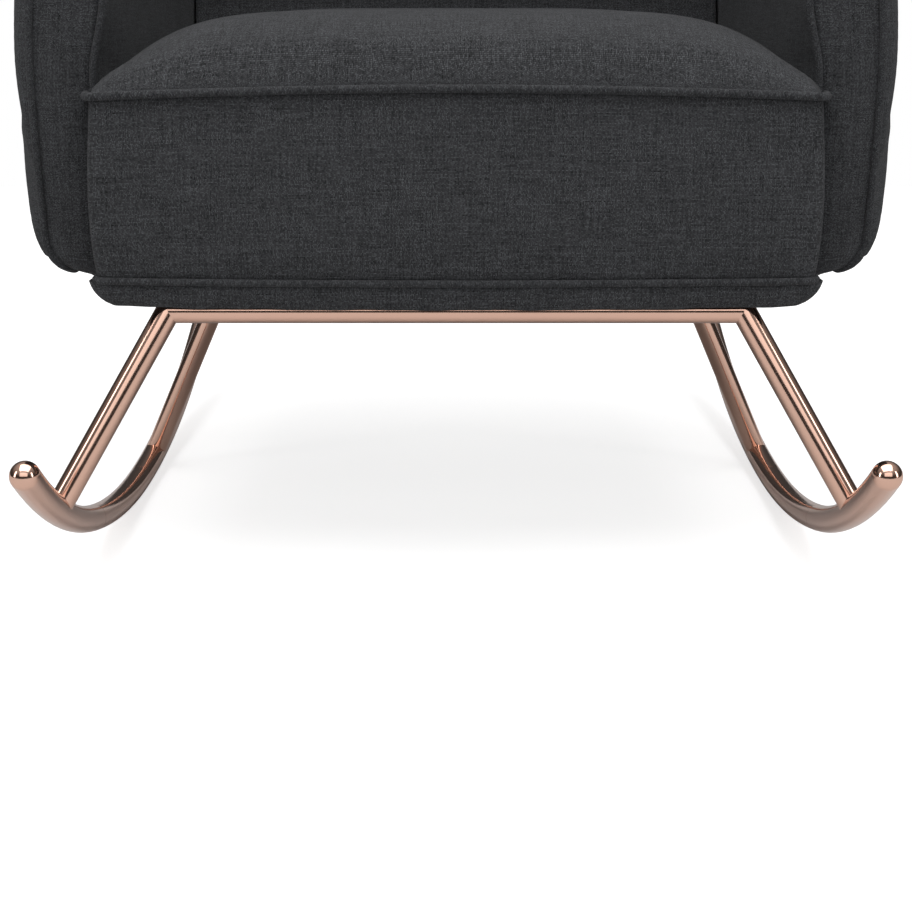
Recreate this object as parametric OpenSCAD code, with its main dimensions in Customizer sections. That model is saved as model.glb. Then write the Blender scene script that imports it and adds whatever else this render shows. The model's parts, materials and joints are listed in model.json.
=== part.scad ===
// Upholstered nursery rocking chair on two curved tube runners.
// The origin is on the floor, midway between the runners and below their lowest points.
// The chair faces -Y, left and right are the sitter's, so left is +X.

/* [Runners] */
// distance between the centrelines of the two runners
runner_spacing = 697; // [660:1:730]
// outside diameter of the runner tube
runner_d = 25.4; // [22:0.1:28]
// bend radius of the upturned front tip
tip_bend_r = 656; // [636:2:680]
// distance from the lowest point to the start of the tip bend
tip_start = 235; // [225:1:245]
// bend radius of the runner in front of its lowest point
front_bend_r = 967; // [940:1:1000]
// bend radius of the runner behind its lowest point
rear_bend_r = 1380; // [1360:20:1380]
// distance of the front end from the lowest point, along Y
front_reach = 467; // [460:1:472]
// distance of the rear end from the lowest point, along Y
rear_reach = 456; // [446:1:470]
// wall thickness of every tube
tube_wall = 2; // [1.5:0.1:2.5]

/* [Legs and rails] */
// outside diameter of the legs, crossbars and side tubes
leg_d = 22.2; // [20:0.1:24]
// height of the crossbar axis above the floor
rail_z = 259; // [252:1:259]
// half the length of the front crossbar, corner to corner
front_rail_x = 254; // [246:1:258]
// half the distance between the rear leg tops
rear_rail_x = 240; // [234:1:246]
// position of the front crossbar and the tops of the front legs
front_leg_y = -316; // [-320:1:-312]
// position of the foot of the front leg
front_foot_y = -370; // [-374:1:-364]
// position of the rear crossbar
rear_rail_y = 52; // [48:1:60]
// position of the foot of the rear leg
rear_foot_y = 92; // [86:1:104]

/* [Seat] */
// half width of the seat front
seat_x = 315; // [312:1:316]
// position of the seat front face
seat_front_y = -342; // [-346:1:-340]
// height of the top welt of the seat
seat_welt_z = 450; // [446:1:456]
// height of the highest point of the seat
seat_top_z = 518; // [512:1:522]
// height of the bottom welt of the seat
seat_base_z = 289; // [286:1:290]
// radius of the welts
welt_r = 3; // [2.6:0.1:3.2]

/* [Arms and wings] */
// inner face of the arms
arm_in_x = 304; // [303:0.5:306]
// outer edge of the border band
arm_out_x = 372; // [370:1:376]
// front of the arms
arm_front_y = -292; // [-294:1:-290]
// height of the arms
arm_top_z = 622; // [600:1:640]
// how far the outside panels bulge past the band
side_bulge = 20; // [14:1:22]
// height of the wings
wing_top_z = 1000; // [980:1:1020]

/* [Back] */
// lean of the inside back
recline = 12; // [11:0.5:13]
// inside back face at the reference height
back_y = 200; // [196:1:204]
// thickness of the back padding
back_pad = 40; // [36:1:46]

/* [Hidden] */
$fn = 96;
skin = 2;
axis_z = runner_d / 2;
runner_x = runner_spacing / 2;
tube_r = runner_d / 2;
leg_r = leg_d / 2;
joint = 0.6;
front_bend_a = asin(tip_start / front_bend_r);
rear_bend_a = asin(rear_reach / rear_bend_r);
copper = [0.74, 0.52, 0.44];
charcoal = [0.17, 0.175, 0.19];
seam_grey = [0.14, 0.145, 0.155];
timber = [0.80, 0.66, 0.47];
foam_cream = [0.94, 0.91, 0.80];
bright_steel = [0.64, 0.65, 0.67];
felt_black = [0.10, 0.10, 0.11];
ARC_STEPS = 10;
BEYOND = 1;
FAR = 1200;
SMALL_STEPS = 3;
SMALL_R = 12;

// wooden seat box
box_x = 300;
box_z0 = 276;
box_z1 = 345;
board = 25;
box_front_y = seat_front_y + 17;
front_board = 45;
box_rear_y = 264;
deck_z = 356;
cleat_x = 325;

// plates between the base and the seat box
plate_x0 = 200;
plate_x1 = 268;
plate_y = 50;
plate_z0 = 268;
plate_front_y = front_leg_y + 60;
plate_rear_y = rear_rail_y - 42;
bolt_x = 214;
bolt_step = 28;
bolt_r = 4;
hole_r = 4.5;
barrel_r = 5;
mount_z1 = 310;

// back frame, measured from the inside back face at the reference height
back_ref_z = 500;
post_depth = 35;
back_low = -60;
back_high = 490;
outer_lean = tan(10);
outer_y = 290;
side_z0 = 289;

// ---- outlines with rounded corners, counter-clockwise ----

function unit(v) = v / norm(v);
function inward(v) = [-v[1], v[0]];
function wrap(i, n) = (i + n) % n;
function edge(pts, i) = unit(pts[wrap(i + 1, len(pts))] - pts[wrap(i, len(pts))]);
function turn(pts, i) = sign(cross(edge(pts, i - 1), edge(pts, i)));
function bend(pts, i) = acos(edge(pts, i - 1) * edge(pts, i));

// the outline moved inward by d
function inset(pts, d) = [for (i = [0 : len(pts) - 1])
    let (a = inward(edge(pts, i - 1)), b = inward(edge(pts, i)))
    pts[i] + d * (a + b) / (1 + a * b)];
function inset_radii(pts, radii, d) = [for (i = [0 : len(pts) - 1])
    max(radii[i] - turn(pts, i) * d, 1)];

// start, centre and end of the rounding of one corner
function arc_start(pts, radii, i) = pts[i] - edge(pts, i - 1) * radii[i] * tan(bend(pts, i) / 2);
function arc_end(pts, radii, i) = pts[i] + edge(pts, i) * radii[i] * tan(bend(pts, i) / 2);
function arc_centre(pts, radii, i) =
    pts[i] + unit(edge(pts, i) - edge(pts, i - 1)) * radii[i] / cos(bend(pts, i) / 2);
function heading(v) = atan2(v[1], v[0]);

// small roundings take fewer steps
function arc_steps(r) = r < SMALL_R ? SMALL_STEPS : ARC_STEPS;

function rounded_points(pts, radii) = [for (i = [0 : len(pts) - 1])
    let (c = arc_centre(pts, radii, i), t = turn(pts, i), b = bend(pts, i),
        a0 = heading(arc_start(pts, radii, i) - c), steps = arc_steps(radii[i]))
    for (k = [0 : steps])
        let (a = a0 + t * b * k / steps)
        c + radii[i] * [cos(a), sin(a)]];

module rounded(pts, radii, d = 0) {
    polygon(rounded_points(inset(pts, d), inset_radii(pts, radii, d)));
}

// stands an outline drawn in Y and Z up, from x0 to x1
module across(x0, x1) {
    translate([x0, 0, 0])
        rotate([90, 0, 90])
            linear_extrude(x1 - x0)
                children();
}

// stands an outline drawn in X and Z up, from y0 to y1
module along(y0, y1) {
    translate([0, y1, 0])
        rotate([90, 0, 0])
            linear_extrude(y1 - y0)
                children();
}

// a cylinder from point a to point b
module rod(a, b, r) {
    v = b - a;
    translate(a)
        rotate([0, acos(v[2] / norm(v)), atan2(v[1], v[0])])
            cylinder(h = norm(v), r = r);
}

module on_side(side) {
    if (side > 0) children();
    else mirror([1, 0, 0]) children();
}

// ---- runners and their end caps ----

module ring(r, bore) {
    difference() {
        circle(r);
        if (bore > 0) circle(bore);
    }
}

// places a child on a runner bend, angle degrees round from the lowest point
module runner_frame(bend_r, angle) {
    way = sign(angle) * joint / 2;
    translate([runner_x, way, axis_z + bend_r])
        rotate([0, 90, 0])
            rotate([0, 0, angle])
                children();
}

module front_bend(bore) {
    runner_frame(front_bend_r, -front_bend_a)
        rotate_extrude(angle = front_bend_a)
            translate([front_bend_r, 0])
                ring(tube_r, bore);
}

// centre of the tip bend, in Y and Z
tip_joint = [-joint / 2 - tip_start, axis_z + front_bend_r * (1 - cos(front_bend_a))];
tip_forward = [-cos(front_bend_a), sin(front_bend_a)];
tip_upward = [sin(front_bend_a), cos(front_bend_a)];
tip_centre = tip_joint + joint * tip_forward + tip_bend_r * tip_upward;
tip_a = asin((tip_centre[0] + front_reach) / tip_bend_r) - front_bend_a;

// places a child at the front end of the front bend
module at_tip_joint() {
    runner_frame(front_bend_r, -front_bend_a)
        translate([front_bend_r, 0, 0])
            children();
}

// places a child on the tip bend, angle degrees round from its start
module tip_frame(angle) {
    at_tip_joint()
        translate([-tip_bend_r, -joint, 0])
            rotate([0, 0, -angle])
                children();
}

module tip_bend(bore) {
    tip_frame(tip_a)
        rotate_extrude(angle = tip_a)
            translate([tip_bend_r, 0])
                ring(tube_r, bore);
}

module rear_bend(bore) {
    runner_frame(rear_bend_r, rear_bend_a)
        rotate([0, 0, -rear_bend_a])
            rotate_extrude(angle = rear_bend_a)
                translate([rear_bend_r, 0])
                    ring(tube_r, bore);
}

// two bends meet over a sleeve, with a hairline groove outside
module sleeve() {
    groove = 0.15;
    sleeve_t = 0.3;
    overlap = 1;
    translate([0, 0, -overlap])
        linear_extrude(joint + 2 * overlap)
            ring(tube_r - groove, tube_r - tube_wall - sleeve_t);
}

module runner(side) {
    bore = tube_r - tube_wall;
    color(copper)
        on_side(side) {
            tip_bend(bore);
            at_tip_joint() rotate([90, 0, 0]) sleeve();
            front_bend(bore);
            translate([runner_x, -joint / 2, axis_z]) rotate([-90, 0, 0]) sleeve();
            rear_bend(bore);
        }
}

module dome_cap() {
    spigot = 12;
    play = 0.3;
    intersection() {
        sphere(tube_r);
        translate([0, 0, tube_r / 2])
            cube([runner_d, runner_d, tube_r], center = true);
    }
    translate([0, 0, -spigot])
        cylinder(h = spigot, r = tube_r - tube_wall - play);
}

module cap_front(side) {
    color(copper)
        on_side(side)
            tip_frame(tip_a)
                translate([tip_bend_r, 0, 0])
                    rotate([90, 0, 0])
                        dome_cap();
}

module cap_rear(side) {
    color(copper)
        on_side(side)
            runner_frame(rear_bend_r, rear_bend_a)
                translate([rear_bend_r, 0, 0])
                    rotate([-90, 0, 0])
                        dome_cap();
}

// ---- legs, crossbars and side tubes ----

front_corner = [front_rail_x, front_leg_y, rail_z];
front_foot_z = tip_centre[1] - sqrt(pow(tip_bend_r, 2) - pow(tip_centre[0] - front_foot_y, 2));
front_foot = [runner_x, front_foot_y, front_foot_z];
rear_corner = [rear_rail_x, rear_rail_y, rail_z];
rear_foot_z = axis_z + rear_bend_r - sqrt(pow(rear_bend_r, 2) - pow(rear_foot_y, 2));
rear_foot = [runner_x, rear_foot_y, rear_foot_z];

// the mitre between the front crossbar and a front leg lies across this direction
leg_way = unit(front_foot - front_corner);
mitre_way = unit(leg_way + [1, 0, 0]);
MITRE_RUN = 30;

// everything past the mitre plane, on the side that way points to
module past_mitre(way) {
    size = 3 * MITRE_RUN;
    translate(front_corner)
        rotate([0, acos(way[2]), atan2(way[1], way[0])])
            translate([-size / 2, -size / 2, 0])
                cube(size);
}

module tube(a, b, r) {
    difference() {
        rod(a, b, r);
        extra = unit(b - a);
        rod(a - extra, b + extra, r - tube_wall);
    }
}

module front_leg(side) {
    color(copper)
        on_side(side)
            difference() {
                tube(front_corner - MITRE_RUN * leg_way, front_foot, leg_r);
                tip_bend(0);
                past_mitre(-mitre_way);
            }
}

module front_crossbar() {
    reach = front_rail_x + MITRE_RUN;
    color(copper)
        difference() {
            tube([-reach, front_leg_y, rail_z], [reach, front_leg_y, rail_z], leg_r);
            for (side = [-1, 1]) on_side(side) past_mitre(mitre_way);
        }
}

module rear_bar_shape() {
    reach = rear_rail_x + leg_r;
    rod([-reach, rear_rail_y, rail_z], [reach, rear_rail_y, rail_z], leg_r);
}

module rear_crossbar() {
    end_plate = 3;
    reach = rear_rail_x + leg_r - end_plate;
    color(copper)
        difference() {
            rear_bar_shape();
            rod([-reach, rear_rail_y, rail_z], [reach, rear_rail_y, rail_z], leg_r - tube_wall);
        }
}

module rear_leg(side) {
    color(copper)
        on_side(side)
            difference() {
                tube(rear_corner, rear_foot, leg_r);
                rear_bar_shape();
                rear_bend(0);
            }
}

side_tube_x = rear_rail_x - 2;
side_front = [side_tube_x, front_leg_y, rail_z];
side_rear = [side_tube_x, rear_rail_y, rail_z];

module side_tube(side) {
    color(copper)
        on_side(side)
            difference() {
                tube(side_front, side_rear, leg_r);
                rear_bar_shape();
                rod([0, front_leg_y, rail_z], [front_rail_x, front_leg_y, rail_z], leg_r);
            }
}

// ---- plates and fasteners ----

module at_plates() {
    for (side = [-1, 1])
        for (y = [plate_front_y, plate_rear_y])
            on_side(side)
                translate([0, y, 0])
                    children();
}

module at_bolts() {
    at_plates()
        for (dy = [-bolt_step / 2, bolt_step / 2])
            translate([bolt_x, dy, 0])
                children();
}

module plate_blank() {
    translate([plate_x0, -plate_y / 2, plate_z0])
        cube([plate_x1 - plate_x0, plate_y, box_z0 - plate_z0]);
}

module mount_plates() {
    color(copper)
        difference() {
            at_plates() plate_blank();
            at_bolts() translate([0, 0, plate_z0 - BEYOND]) cylinder(h = plate_y, r = hole_r);
            for (side = [-1, 1]) on_side(side) rod(side_front, side_rear, leg_r);
        }
}

washer_t = 1.6;
washer_r = 8;
head_h = 5.5;
head_r = 7.5;
bolt_end = 6;

module base_bolts() {
    color(bright_steel)
        at_bolts()
            translate([0, 0, plate_z0 - washer_t - head_h]) {
                cylinder(h = head_h, r = head_r, $fn = 6);
                cylinder(h = mount_z1 - plate_z0 + washer_t + head_h + bolt_end, r = bolt_r);
            }
}

module base_washers() {
    color(bright_steel)
        at_bolts()
            translate([0, 0, plate_z0 - washer_t])
                difference() {
                    cylinder(h = washer_t, r = washer_r);
                    translate([0, 0, -BEYOND]) cylinder(h = washer_t + 2 * BEYOND, r = hole_r);
                }
}

barrel_h = 10;

module tee_nuts() {
    flange_r = 10;
    flange_t = 1.5;
    color(bright_steel)
        at_bolts()
            translate([0, 0, mount_z1])
                difference() {
                    union() {
                        cylinder(h = flange_t, r = flange_r);
                        translate([0, 0, -barrel_h]) cylinder(h = barrel_h + flange_t, r = barrel_r);
                    }
                    translate([0, 0, -barrel_h - BEYOND]) cylinder(h = 2 * barrel_h, r = bolt_r);
                }
}

// ---- wooden seat box ----

module seat_front_rail() {
    color(timber)
        translate([-box_x, box_front_y, box_z0])
            cube([2 * box_x, front_board, box_z1 - box_z0]);
}

module seat_rear_rail() {
    inner = box_x - board;
    color(timber)
        translate([-inner, box_rear_y - board, box_z0])
            cube([2 * inner, board, box_z1 - box_z0]);
}

// the side rail and the cleat that ties it to the side panel
module seat_side_rail(side) {
    cleat_z = 302;
    cleat_y0 = arm_front_y + 24;
    cleat_y1 = box_rear_y - 20;
    color(timber)
        on_side(side) {
            translate([box_x - board, box_front_y + front_board, box_z0])
                cube([board, box_rear_y - box_front_y - front_board, box_z1 - box_z0]);
            translate([box_x, cleat_y0, cleat_z])
                cube([cleat_x - box_x, cleat_y1 - cleat_y0, box_z1 - cleat_z]);
        }
}

module mount_rail(y, depth) {
    inner = box_x - board;
    height = mount_z1 - box_z0;
    color(timber)
        difference() {
            translate([-inner, y - depth / 2, box_z0])
                cube([2 * inner, depth, height]);
            at_bolts()
                translate([0, 0, box_z0]) {
                    translate([0, 0, -BEYOND]) cylinder(h = 2 * height, r = hole_r);
                    translate([0, 0, height - barrel_h]) cylinder(h = 2 * barrel_h, r = barrel_r);
                }
        }
}

module front_mount_rail() {
    depth = 90;
    setback = 21;
    mount_rail(plate_front_y + setback, depth);
}

module rear_mount_rail() {
    depth = 64;
    mount_rail(plate_rear_y, depth);
}

module corner_block(y, way) {
    leg = 60;
    gap = 2;
    translate([box_x - board, y, mount_z1 + gap])
        linear_extrude(box_z1 - mount_z1 - 3 * gap)
            polygon([[0, 0], [-leg, 0], [0, way * leg]]);
}

module corner_blocks() {
    color(timber)
        for (side = [-1, 1])
            on_side(side) {
                corner_block(box_rear_y - board, -1);
                corner_block(box_front_y + front_board, 1);
            }
}

// ---- seat springs ----

wire_r = 2;
spring_z = 349;
spring_pitch = 50;
spring_flat = 5;
spring_count = 12;
WIRE_FN = 24;
clip = [8, 14, 8];
clip_play = 0.1;
spring_y0 = box_front_y + front_board / 2;
spring_xs = [-198, -66, 66, 198];

module one_spring() {
    half = spring_pitch / 2;
    for (k = [0 : spring_count - 1]) {
        way = k % 2 == 0 ? 1 : -1;
        y = k * spring_pitch;
        rod([-spring_flat, y, 0], [spring_flat, y, 0], wire_r);
        if (k < spring_count - 1)
            translate([way * spring_flat, y + half, 0])
                rotate([0, 0, way > 0 ? -90 : 90])
                    rotate_extrude(angle = 180)
                        translate([half, 0])
                            circle(wire_r, $fn = WIRE_FN);
    }
}

module seat_springs() {
    color(bright_steel)
        for (x = spring_xs)
            translate([x, spring_y0, spring_z])
                one_spring();
}

module spring_clips() {
    length = (spring_count - 1) * spring_pitch;
    color(bright_steel)
        for (x = spring_xs)
            for (y = [spring_y0, spring_y0 + length])
                translate([x, y, spring_z])
                    difference() {
                        translate([-clip[0] / 2, -clip[1] / 2, box_z1 - spring_z]) cube(clip);
                        rod([-clip[0], 0, 0], [clip[0], 0, 0], wire_r + clip_play);
                    }
}

// ---- seat padding and cover ----

crown_r = 131;
crown_in = 115;
side_gap_x = arm_in_x - 2.4;
ear_y = arm_front_y - 3;
SEAT_LOW = 200;

function crown_arc(c, r, a0, a1) = [for (k = [0 : ARC_STEPS])
    let (a = a0 + (a1 - a0) * k / ARC_STEPS) c + r * [cos(a), sin(a)]];
edge_a = asin((seat_welt_z - seat_top_z + crown_r) / crown_r);
crown_z = seat_top_z - crown_r;

// seen from the front
module seat_front_view(d) {
    c = seat_x - crown_in;
    polygon(concat([[-seat_x + d, SEAT_LOW], [seat_x - d, SEAT_LOW]],
        crown_arc([c, crown_z], crown_r - d, edge_a, 90),
        crown_arc([-c, crown_z], crown_r - d, 90, 180 - edge_a)));
}

// seen from the side, ending against the inside back
module seat_side_view(d) {
    c = seat_front_y + crown_in;
    lean = tan(recline);
    gap = 1;
    rear = back_y - gap - d;
    polygon(concat([[seat_front_y + d, SEAT_LOW], [rear + lean * (SEAT_LOW - back_ref_z), SEAT_LOW],
        [rear + lean * (seat_top_z - d - back_ref_z), seat_top_z - d]],
        crown_arc([c, crown_z], crown_r - d, 90, 180 - edge_a)));
}

seat_rear = back_y + back_pad;

// seen from above
module seat_plan(d) {
    corner = 10;
    x = seat_x - d;
    inner = side_gap_x - d;
    polygon(concat([[-inner, seat_rear], [-inner, ear_y - d], [-x, ear_y - d]],
        crown_arc([-x + corner, seat_front_y + d + corner], corner, 180, 270),
        crown_arc([x - corner, seat_front_y + d + corner], corner, 270, 360),
        [[x, ear_y - d], [inner, ear_y - d], [inner, seat_rear]]));
}

module seat_block(d, z0, z1) {
    intersection() {
        along(seat_front_y - BEYOND, seat_rear + BEYOND) seat_front_view(d);
        across(-seat_x, seat_x) seat_side_view(d);
        translate([0, 0, z0]) linear_extrude(z1 - z0) seat_plan(d);
    }
}

module seat_foam() {
    color(foam_cream) {
        seat_block(skin, deck_z, seat_top_z);
        difference() {
            seat_block(skin, seat_base_z + 2 * skin, deck_z);
            translate([-FAR / 2, box_front_y, 0]) cube(FAR);
        }
    }
}

module seat_crown_cover() {
    color(charcoal)
        difference() {
            seat_block(0, seat_welt_z + welt_r, seat_top_z);
            seat_block(skin, seat_welt_z - BEYOND, seat_top_z);
        }
}

module seat_boxing() {
    color(charcoal)
        difference() {
            seat_block(0, seat_base_z + welt_r + BEYOND, seat_welt_z - welt_r);
            seat_block(skin, seat_base_z, seat_welt_z);
            translate([-FAR / 2, ear_y, 0]) cube(FAR);
        }
}

// the narrow band below the bottom welt
module seat_lower_band() {
    low = box_z0 - 10;
    band_front = seat_front_y + 10;
    band_rear = box_rear_y + skin;
    color(charcoal)
        difference() {
            translate([-side_gap_x, band_front, low])
                cube([2 * side_gap_x, band_rear - band_front, seat_base_z - welt_r - low]);
            translate([-side_gap_x + skin, band_front + skin, 0])
                cube([2 * (side_gap_x - skin), band_rear - band_front - 2 * skin, FAR]);
        }
}

// the open run of cord round the front of the seat
CORD_FN = 32;

module seat_cord(z) {
    r = welt_r;
    proud = 0.8;
    x = seat_x + proud;
    y = seat_front_y - proud;
    corner = 11;
    end = ear_y - skin;
    for (side = [-1, 1])
        on_side(side) {
            rod([x, y + corner, z], [x, end, z], r);
            translate([x - corner, y + corner, z])
                rotate([0, 0, -90])
                    rotate_extrude(angle = 90)
                        translate([corner, 0])
                            circle(r, $fn = CORD_FN);
        }
    rod([-x + corner, y, z], [x - corner, y, z], r);
}

module seat_top_welt() {
    color(seam_grey)
        difference() {
            seat_cord(seat_welt_z);
            seat_block(skin, seat_welt_z - 2 * welt_r, seat_welt_z + 2 * welt_r);
        }
}

module seat_bottom_welt() {
    color(seam_grey)
        difference() {
            seat_cord(seat_base_z);
            seat_block(skin, seat_base_z - 2 * welt_r, seat_base_z + 2 * welt_r);
        }
}

// ---- back ----

// from (depth, height) on the back to Y and Z
function on_back(v, w) = [
    back_y + v * cos(recline) + w * sin(recline),
    back_ref_z + w * cos(recline) - v * sin(recline)];
function outer_back(z) = [outer_y + outer_lean * (z - side_z0), z];

module back_frame() {
    translate([0, back_y, back_ref_z])
        rotate([-recline, 0, 0])
            children();
}

shelf = 471;
shelf_z = on_back(back_pad, shelf)[1] - 10;
back_top_z = wing_top_z - 12;
back_outline = [on_back(0, back_low), on_back(back_pad, back_low), on_back(back_pad, shelf),
    outer_back(shelf_z), outer_back(back_top_z), on_back(0, back_high)];
back_radii = [8, 4, 4, 4, 28, 42];

module back_foam() {
    color(foam_cream)
        across(-side_gap_x + skin, side_gap_x - skin)
            rounded(back_outline, back_radii, skin);
}

module inside_back_cover() {
    color(charcoal)
        difference() {
            across(-side_gap_x, side_gap_x) rounded(back_outline, back_radii);
            across(-side_gap_x + skin, side_gap_x - skin) rounded(back_outline, back_radii, skin);
        }
}

module outside_back_cover() {
    top = shelf_z - welt_r;
    color(charcoal)
        across(-side_gap_x, side_gap_x)
            polygon([outer_back(side_z0), outer_back(top), outer_back(top) - [skin, 0],
                outer_back(side_z0) - [skin, 0]]);
}

module back_post(side) {
    length = 620;
    top_gap = 22;
    color(timber)
        on_side(side)
            difference() {
                back_frame()
                    translate([box_x - board, back_pad + skin, back_high - top_gap - length])
                        cube([board, post_depth, length]);
                translate([0, -FAR / 2, box_z1 - FAR]) cube(FAR);
            }
}

rail_height = 40;

module back_rail(w) {
    inner = box_x - board;
    color(timber)
        back_frame()
            translate([-inner, back_pad + skin, w])
                cube([2 * inner, post_depth, rail_height]);
}

module back_top_rail() {
    top_gap = 22;
    back_rail(back_high - top_gap - rail_height);
}

module back_lower_rail() {
    back_rail(back_low);
}

module back_webbing() {
    strap = 60;
    pitch = 100;
    straps = 4;
    play = 0.2;
    color(felt_black)
        back_frame()
            for (k = [0 : straps - 1])
                translate([-box_x, back_pad + play, k * pitch])
                    cube([2 * box_x, skin - 2 * play, strap]);
}

// ---- arms and wings ----

wing_foot_y = 76;
wing_lean = 0.24;
side_outline = [[arm_front_y, side_z0], outer_back(side_z0), outer_back(wing_top_z),
    [wing_foot_y + wing_lean * (wing_top_z - arm_top_z), wing_top_z],
    [wing_foot_y, arm_top_z], [arm_front_y, arm_top_z]];
side_radii = [14, 10, 46, 110, 120, 84];

edge_set = 6;
lap = 4;
panel_x0 = 325;
panel_x1 = 347;
panel_set = 14;
hollow_x = 360;

// the space of the seat box inside the arms
module box_clearance() {
    front_gap = 10;
    translate([0, arm_front_y + front_gap, 0]) cube([cleat_x, FAR, box_z1 + skin]);
}

module side_slab(x0, x1, d) {
    across(x0, x1) rounded(side_outline, side_radii, d);
}

// openings in the side panel, below the arm and inside the wing
arm_window = [[-190, 400], [100, 400], [100, 540], [-190, 540]];
wing_window = [[140, 400], [270, 400], [355, 930], [225, 930]];
window_radii = [24, 24, 24, 24];

module side_panel(side) {
    color(timber)
        on_side(side)
            difference() {
                side_slab(panel_x0, panel_x1, panel_set);
                across(0, arm_out_x)
                    rounded(arm_window, window_radii);
                across(0, arm_out_x)
                    rounded(wing_window, window_radii);
            }
}

// the padding on the sitter's side, with the strip that wraps the panel edge
module inner_padding(side) {
    color(foam_cream)
        on_side(side)
            difference() {
                union() {
                    side_slab(arm_in_x + lap, panel_x1, skin);
                    side_slab(arm_in_x + skin, arm_in_x + skin + lap, edge_set);
                }
                side_slab(panel_x0, panel_x1 + BEYOND, panel_set);
                box_clearance();
            }
}

module outer_padding(side) {
    color(foam_cream)
        on_side(side) {
            difference() {
                side_slab(panel_x1, arm_out_x - lap, skin);
                side_slab(panel_x1 - BEYOND, hollow_x, panel_set);
            }
            side_slab(arm_out_x - lap, arm_out_x - skin, edge_set);
            side_slab(arm_out_x - skin, arm_out_x + side_bulge - skin, panel_set + skin);
        }
}

module arm_band(side) {
    color(charcoal)
        on_side(side)
            difference() {
                side_slab(arm_in_x + lap, arm_out_x - lap, 0);
                side_slab(arm_in_x, arm_out_x, skin);
                box_clearance();
            }
}

module inside_cover(side) {
    color(charcoal)
        on_side(side)
            difference() {
                side_slab(arm_in_x, arm_in_x + skin, edge_set);
                box_clearance();
            }
}

module outside_cover(side) {
    color(charcoal)
        on_side(side)
            difference() {
                union() {
                    side_slab(arm_out_x - skin, arm_out_x, edge_set);
                    side_slab(arm_out_x - skin, arm_out_x + side_bulge, panel_set);
                }
                side_slab(arm_out_x - 3 * skin, arm_out_x + side_bulge - skin, panel_set + skin);
            }
}

// half width and rise of the strips that build up the round section of a cord, over its radius
CORD_STRIPS = [[1, 0.4], [0.76, 0.76], [0.4, 1]];
cord_set = 1.4;
cord_proud = 0.8;

module side_cord(x) {
    for (strip = CORD_STRIPS) {
        half = welt_r * strip[0];
        rise = welt_r * strip[1];
        difference() {
            side_slab(x - half, x + half, cord_set - rise);
            side_slab(x - half - BEYOND, x + half + BEYOND, cord_set + rise);
        }
    }
}

module outer_welt(side) {
    color(seam_grey)
        on_side(side)
            side_cord(arm_out_x - cord_proud);
}

// the inner cord stops where the seat box and the back meet the arm
module inner_welt(side) {
    under_y = -200;
    under_z = side_z0 + 10;
    behind_y = 250;
    color(seam_grey)
        on_side(side)
            difference() {
                side_cord(arm_in_x + cord_proud);
                translate([0, under_y, under_z - FAR]) cube(FAR);
                translate([0, behind_y, box_z1 - FAR]) cube(FAR);
            }
}

// ---- cloth under the seat ----

module dust_cover() {
    thick = 1.5;
    color(felt_black)
        difference() {
            translate([-side_gap_x + skin, box_front_y, box_z0 - thick])
                cube([2 * (side_gap_x - skin), box_rear_y - box_front_y, thick]);
            at_plates() plate_blank();
        }
}

runner(1);  // runner_left
runner(-1);  // runner_right
cap_front(1);  // cap_front_left
cap_front(-1);  // cap_front_right
cap_rear(1);  // cap_rear_left
cap_rear(-1);  // cap_rear_right
front_leg(1);  // front_leg_left
front_leg(-1);  // front_leg_right
rear_leg(1);  // rear_leg_left
rear_leg(-1);  // rear_leg_right
front_crossbar();
rear_crossbar();
side_tube(1);  // side_tube_left
side_tube(-1);  // side_tube_right
mount_plates();
base_bolts();
base_washers();
tee_nuts();
seat_front_rail();
seat_rear_rail();
seat_side_rail(1);  // seat_side_rail_left
seat_side_rail(-1);  // seat_side_rail_right
front_mount_rail();
rear_mount_rail();
corner_blocks();
side_panel(1);  // side_panel_left
side_panel(-1);  // side_panel_right
back_post(1);  // back_post_left
back_post(-1);  // back_post_right
back_top_rail();
back_lower_rail();
seat_springs();
spring_clips();
back_webbing();
seat_foam();
back_foam();
inner_padding(1);  // inner_padding_left
inner_padding(-1);  // inner_padding_right
outer_padding(1);  // outer_padding_left
outer_padding(-1);  // outer_padding_right
seat_crown_cover();
seat_boxing();
seat_lower_band();
seat_top_welt();
seat_bottom_welt();
inside_back_cover();
outside_back_cover();
arm_band(1);  // arm_band_left
arm_band(-1);  // arm_band_right
inside_cover(1);  // inside_cover_left
inside_cover(-1);  // inside_cover_right
outside_cover(1);  // outside_cover_left
outside_cover(-1);  // outside_cover_right
inner_welt(1);  // inner_welt_left
inner_welt(-1);  // inner_welt_right
outer_welt(1);  // outer_welt_left
outer_welt(-1);  // outer_welt_right
dust_cover();
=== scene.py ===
"""An upholstered nursery rocking chair on a polished tube base.

The metal, wood and spring nodes of the CAD frame are kept and get better materials. Every soft node is
replaced by a piece that is built here: closed pads whose seams are held while a cloth simulation fills them,
self-fabric welts along the seams, and sheets of cloth pulled over the frame. Lengths are in metres.
"""

import json
import math

import bmesh
import bpy
import numpy as np
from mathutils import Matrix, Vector
from mathutils.geometry import delaunay_2d_cdt


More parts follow.
